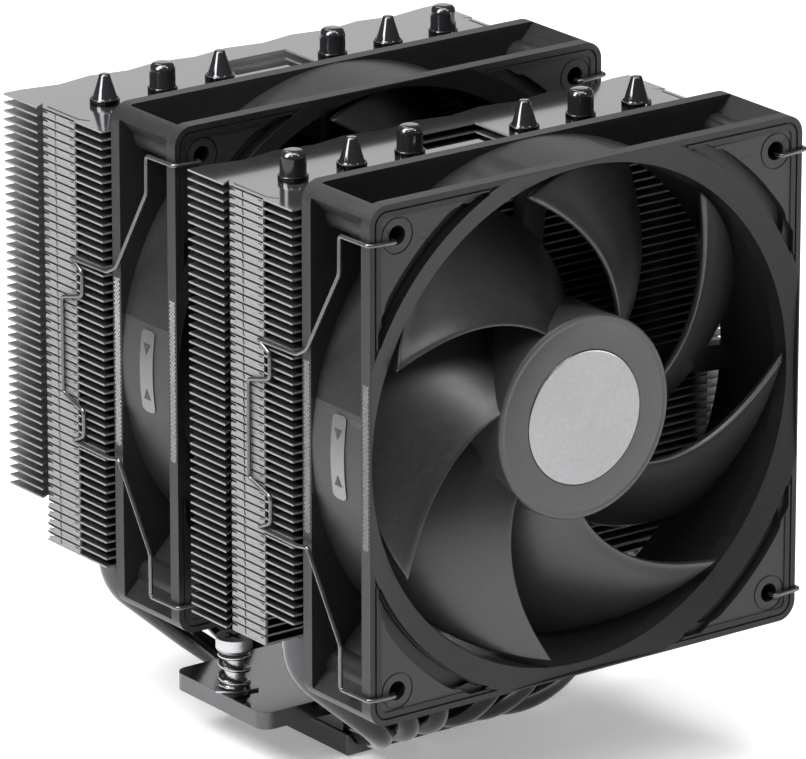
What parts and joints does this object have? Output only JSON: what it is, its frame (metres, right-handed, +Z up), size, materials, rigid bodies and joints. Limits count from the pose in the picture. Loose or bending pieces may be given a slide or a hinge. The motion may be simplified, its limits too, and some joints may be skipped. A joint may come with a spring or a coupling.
{
  "type": "cpu tower cooler",
  "caption": "Black twin-tower CPU air cooler: fin stacks on U-shaped heat pipes, front and centre fans with wire clips, and a clamped base with a sprung crossbar.",
  "frame": {"origin": "centre of the cold plate's contact face, which is the object's lowest face", "axes": "+Z up from the processor, X along the fan width and the mounting crossbar, +Y along the airflow; the front fan is at -Y"},
  "size_m": [0.1248, 0.1398, 0.1546],
  "materials": {
    "plated_base": "dark nickel plated copper",
    "black_nickel": "polished black nickel plating",
    "spring_steel": "dark spring steel",
    "pipe_black": "glossy black nickel plated copper tube",
    "fin_black": "black coated aluminium sheet, satin, glossy on the top fin",
    "frame_plastic": "black moulded plastic, fine grain",
    "blade_plastic": "black moulded plastic, satin",
    "spun_metal": "spun aluminium with concentric turning marks",
    "label_metal": "grey printed plate",
    "circuit_board": "green circuit board",
    "core_steel": "stacked steel laminations",
    "copper_wire": "enamelled copper winding",
    "bearing_bronze": "sintered bronze",
    "shaft_steel": "ground steel",
    "rotor_steel": "steel cup with magnet ring",
    "clip_wire": "blackened spring wire"
  },
  "bodies": {
    "cooler": {"cold_plate": "plated_base", "clamp_block": "plated_base", "crossbar": "black_nickel", "block_screws": "black_nickel", "spring_left": "spring_steel", "spring_right": "spring_steel", "heat_pipe_1": "pipe_black", "heat_pipe_2": "pipe_black", "heat_pipe_3": "pipe_black", "heat_pipe_4": "pipe_black", "heat_pipe_5": "pipe_black", "heat_pipe_6": "pipe_black", "front_fins": "fin_black", "rear_fins": "fin_black", "front_collars": "pipe_black", "rear_collars": "pipe_black", "front_fan_frame": "frame_plastic", "front_fan_label": "label_metal", "front_fan_board": "circuit_board", "front_fan_stator": "core_steel", "front_fan_coils": "copper_wire", "front_fan_bearing": "bearing_bronze", "middle_fan_frame": "frame_plastic", "middle_fan_label": "label_metal", "middle_fan_board": "circuit_board", "middle_fan_stator": "core_steel", "middle_fan_coils": "copper_wire", "middle_fan_bearing": "bearing_bronze", "seat_left": "spring_steel", "seat_right": "spring_steel"},
    "front_rotor": {"front_fan_impeller": "blade_plastic", "front_fan_disc": "spun_metal", "front_fan_shaft": "shaft_steel", "front_fan_magnet": "rotor_steel", "front_fan_stop": "shaft_steel"},
    "middle_rotor": {"middle_fan_impeller": "blade_plastic", "middle_fan_disc": "spun_metal", "middle_fan_shaft": "shaft_steel", "middle_fan_magnet": "rotor_steel", "middle_fan_stop": "shaft_steel"},
    "left_ring": {"ring_left": "spring_steel"},
    "left_screw": {"screw_left": "black_nickel"},
    "right_ring": {"ring_right": "spring_steel"},
    "right_screw": {"screw_right": "black_nickel"},
    "front_left_clip": {"front_clip_left": "clip_wire"},
    "front_right_clip": {"front_clip_right": "clip_wire"},
    "middle_left_clip": {"middle_clip_left": "clip_wire"},
    "middle_right_clip": {"middle_clip_right": "clip_wire"}
  },
  "joints": [
    {"name": "front_fan_spin", "type": "hinge", "parent": "cooler", "child": "front_rotor", "pos_m": [0, -0.0815, 0.0944], "axis": [0, 1, 0], "continuous": true},
    {"name": "middle_fan_spin", "type": "hinge", "parent": "cooler", "child": "middle_rotor", "pos_m": [0, -0.0083, 0.0944], "axis": [0, 1, 0], "continuous": true},
    {"name": "left_screw_press", "type": "slide", "parent": "cooler", "child": "left_ring", "axis": [0, 0, -1], "range_m": [0, 0.004], "stiffness_N_per_m": 800, "springref_m": -0.003, "deforming": ["spring_left"]},
    {"name": "left_screw_turn", "type": "hinge", "parent": "left_ring", "child": "left_screw", "pos_m": [-0.039, 0, 0.02], "axis": [0, 0, 1], "continuous": true},
    {"name": "right_screw_press", "type": "slide", "parent": "cooler", "child": "right_ring", "axis": [0, 0, -1], "range_m": [0, 0.004], "stiffness_N_per_m": 800, "springref_m": -0.003, "deforming": ["spring_right"]},
    {"name": "right_screw_turn", "type": "hinge", "parent": "right_ring", "child": "right_screw", "pos_m": [0.039, 0, 0.02], "axis": [0, 0, 1], "continuous": true},
    {"name": "front_left_clip_swing", "type": "hinge", "parent": "cooler", "child": "front_left_clip", "pos_m": [-0.0534, -0.0803, 0.0934], "axis": [0, 0, 1], "range_deg": [0, 18], "stiffness_Nm_per_rad": 0.02, "springref_deg": -5.73},
    {"name": "front_right_clip_swing", "type": "hinge", "parent": "cooler", "child": "front_right_clip", "pos_m": [0.0534, -0.0803, 0.0934], "axis": [0, 0, -1], "range_deg": [0, 18], "stiffness_Nm_per_rad": 0.02, "springref_deg": -5.73},
    {"name": "middle_left_clip_swing", "type": "hinge", "parent": "cooler", "child": "middle_left_clip", "pos_m": [-0.0534, -0.0071, 0.0934], "axis": [0, 0, 1], "range_deg": [0, 18], "stiffness_Nm_per_rad": 0.02, "springref_deg": -5.73},
    {"name": "middle_right_clip_swing", "type": "hinge", "parent": "cooler", "child": "middle_right_clip", "pos_m": [0.0534, -0.0071, 0.0934], "axis": [0, 0, -1], "range_deg": [0, 18], "stiffness_Nm_per_rad": 0.02, "springref_deg": -5.73}
  ]
}
